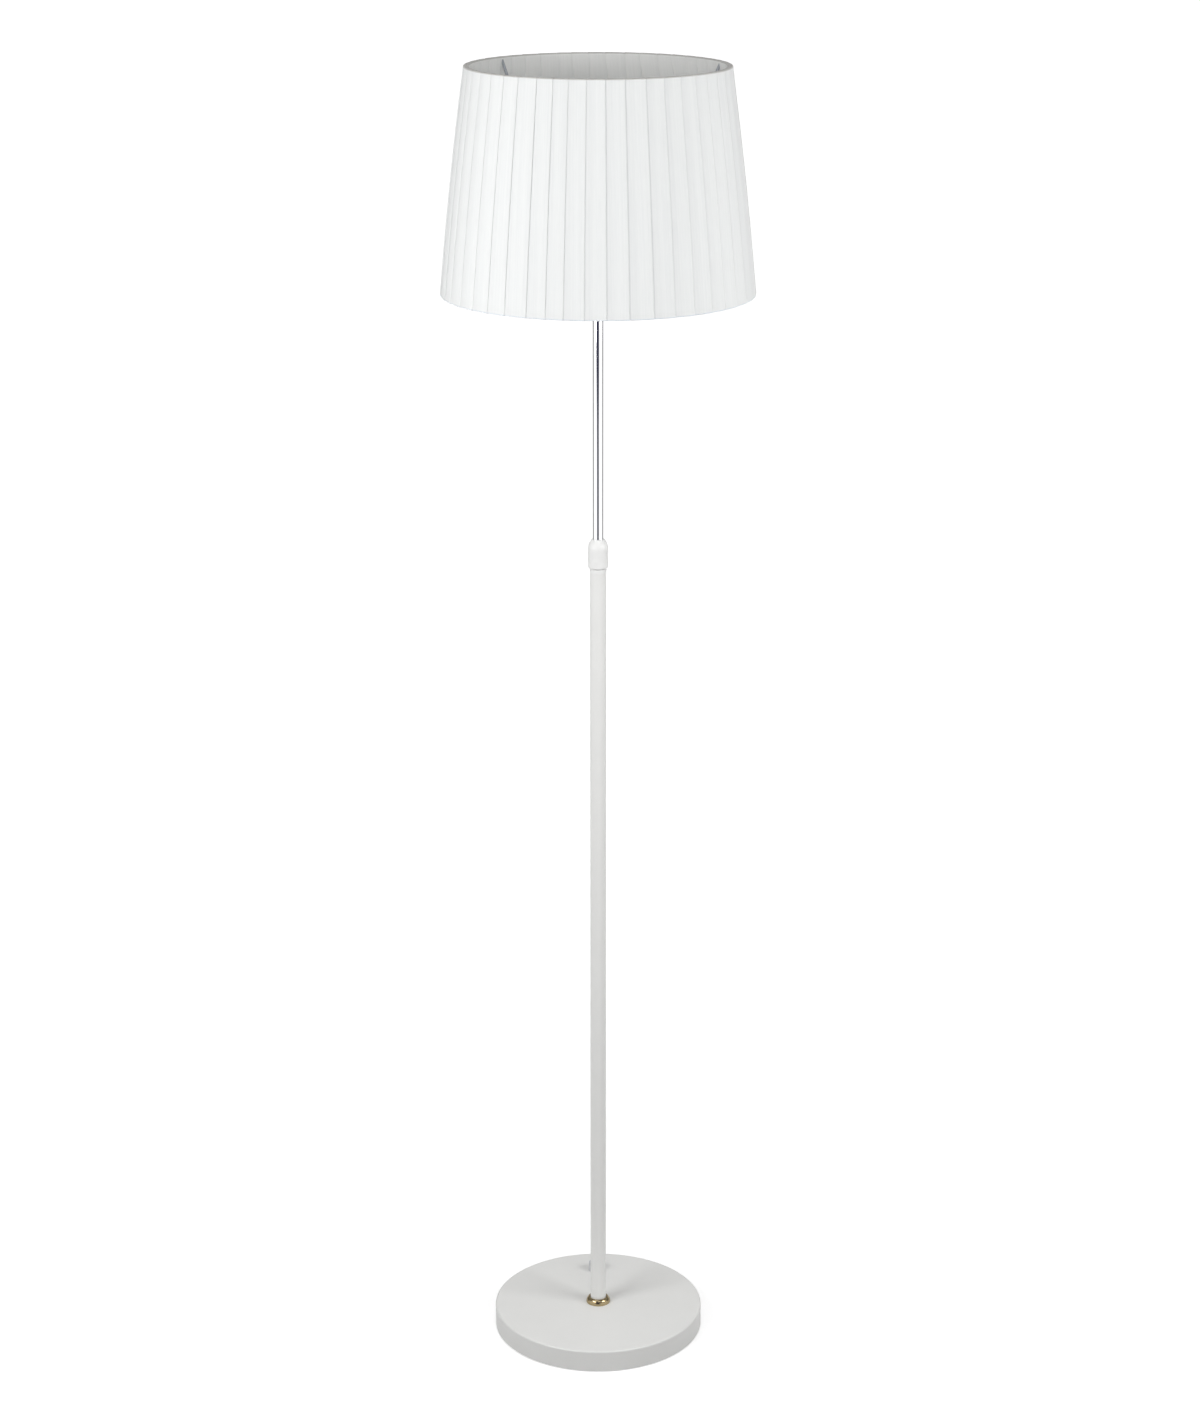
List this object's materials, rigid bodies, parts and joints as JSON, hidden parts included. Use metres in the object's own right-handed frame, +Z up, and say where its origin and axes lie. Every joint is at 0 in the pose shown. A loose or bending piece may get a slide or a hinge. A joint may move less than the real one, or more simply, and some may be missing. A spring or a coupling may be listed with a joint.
{
  "type": "floor lamp",
  "caption": "Telescopic floor lamp: round weighted base with foot switch, two-part pole, twist collar, sliding mast and pleated ribbon shade.",
  "frame": {"origin": "on the floor, under the pole's axis, at the centre of the base's underside", "axes": "+Z up along the pole, front towards -Y, foot switch and cord inlet towards +Y"},
  "size_m": [0.3932, 0.3928, 1.7034],
  "materials": {
    "foam_pad": "matte foam rubber",
    "cast_weight": "rough cast, dipped dark grey",
    "white_paint": "satin white powder coat on steel",
    "zinc_steel": "bright zinc plate",
    "brass_ring": "turned and polished",
    "switch_plastic": "moulded, dark",
    "grey_plastic": "moulded, light grey",
    "white_plastic": "moulded, satin white",
    "spring_steel": "drawn wire, oiled",
    "brass_contact": "stamped sheet, bare",
    "nylon": "moulded, natural",
    "chrome_tube": "mirror chrome plate on steel",
    "holder_plastic": "moulded, glossy white",
    "plated_wire": "bright zinc plated steel wire",
    "lining_sheet": "thin white plastic sheet",
    "white_ribbon": "fine ribbed white ribbon, translucent",
    "binding_tape": "white woven tape"
  },
  "bodies": {
    "stand": {"base_pad": "foam_pad", "base_weight": "cast_weight", "base_cover": "white_paint", "base_spacer": "zinc_steel", "foot_ring": "brass_ring", "tie_rod": "zinc_steel", "tie_washer": "zinc_steel", "tie_nut": "zinc_steel", "switch_body": "switch_plastic", "switch_bezel": "grey_plastic", "switch_spring": "spring_steel", "switch_terminals": "brass_contact", "cord_grommet": "white_plastic", "cord_clamp": "switch_plastic", "clamp_screws": "zinc_steel", "lower_tube": "white_paint", "upper_tube": "white_paint", "foot_insert": "zinc_steel", "seam_socket": "zinc_steel", "seam_spigot": "zinc_steel", "top_bush": "white_plastic", "collet": "nylon"},
    "foot_button": {"foot_button": "grey_plastic"},
    "lock_collar": {"lock_collar": "white_plastic"},
    "mast_guide": {"guide_bush": "nylon"},
    "head": {"inner_tube": "chrome_tube", "stop_ring": "zinc_steel", "foot_clip": "spring_steel", "mast_plug": "zinc_steel", "holder_washer": "zinc_steel", "head_nipple": "zinc_steel", "nipple_nut": "zinc_steel", "holder_cap": "holder_plastic", "holder_core": "switch_plastic", "terminal_screws": "brass_contact", "screw_shell": "brass_contact", "centre_contact": "brass_contact", "holder_sleeve": "holder_plastic", "shade_nut": "holder_plastic", "fitter_ring": "plated_wire", "shade_arms": "plated_wire", "top_ring": "plated_wire", "bottom_ring": "plated_wire", "shade_lining": "lining_sheet", "ribbon_cover": "white_ribbon", "inner_ribbon": "white_ribbon", "top_binding": "binding_tape", "bottom_binding": "binding_tape"}
  },
  "joints": [
    {"name": "mast_slide", "type": "slide", "parent": "stand", "child": "mast_guide", "axis": [0, 0, 1], "range_m": [-0.42, 0]},
    {"name": "mast_turn", "type": "hinge", "parent": "mast_guide", "child": "head", "pos_m": [0, 0, 1.0227], "axis": [0, 0, 1], "range_deg": [-170, 170]},
    {"name": "collar_turn", "type": "hinge", "parent": "stand", "child": "lock_collar", "pos_m": [0, 0, 1.09], "axis": [0, 0, 1], "range_deg": [0, 180]},
    {"name": "button_press", "type": "slide", "parent": "stand", "child": "foot_button", "axis": [0, 0, 1], "range_m": [-0.003, 0], "stiffness_N_per_m": 400, "springref_m": 0.006, "deforming": ["switch_spring"]}
  ]
}
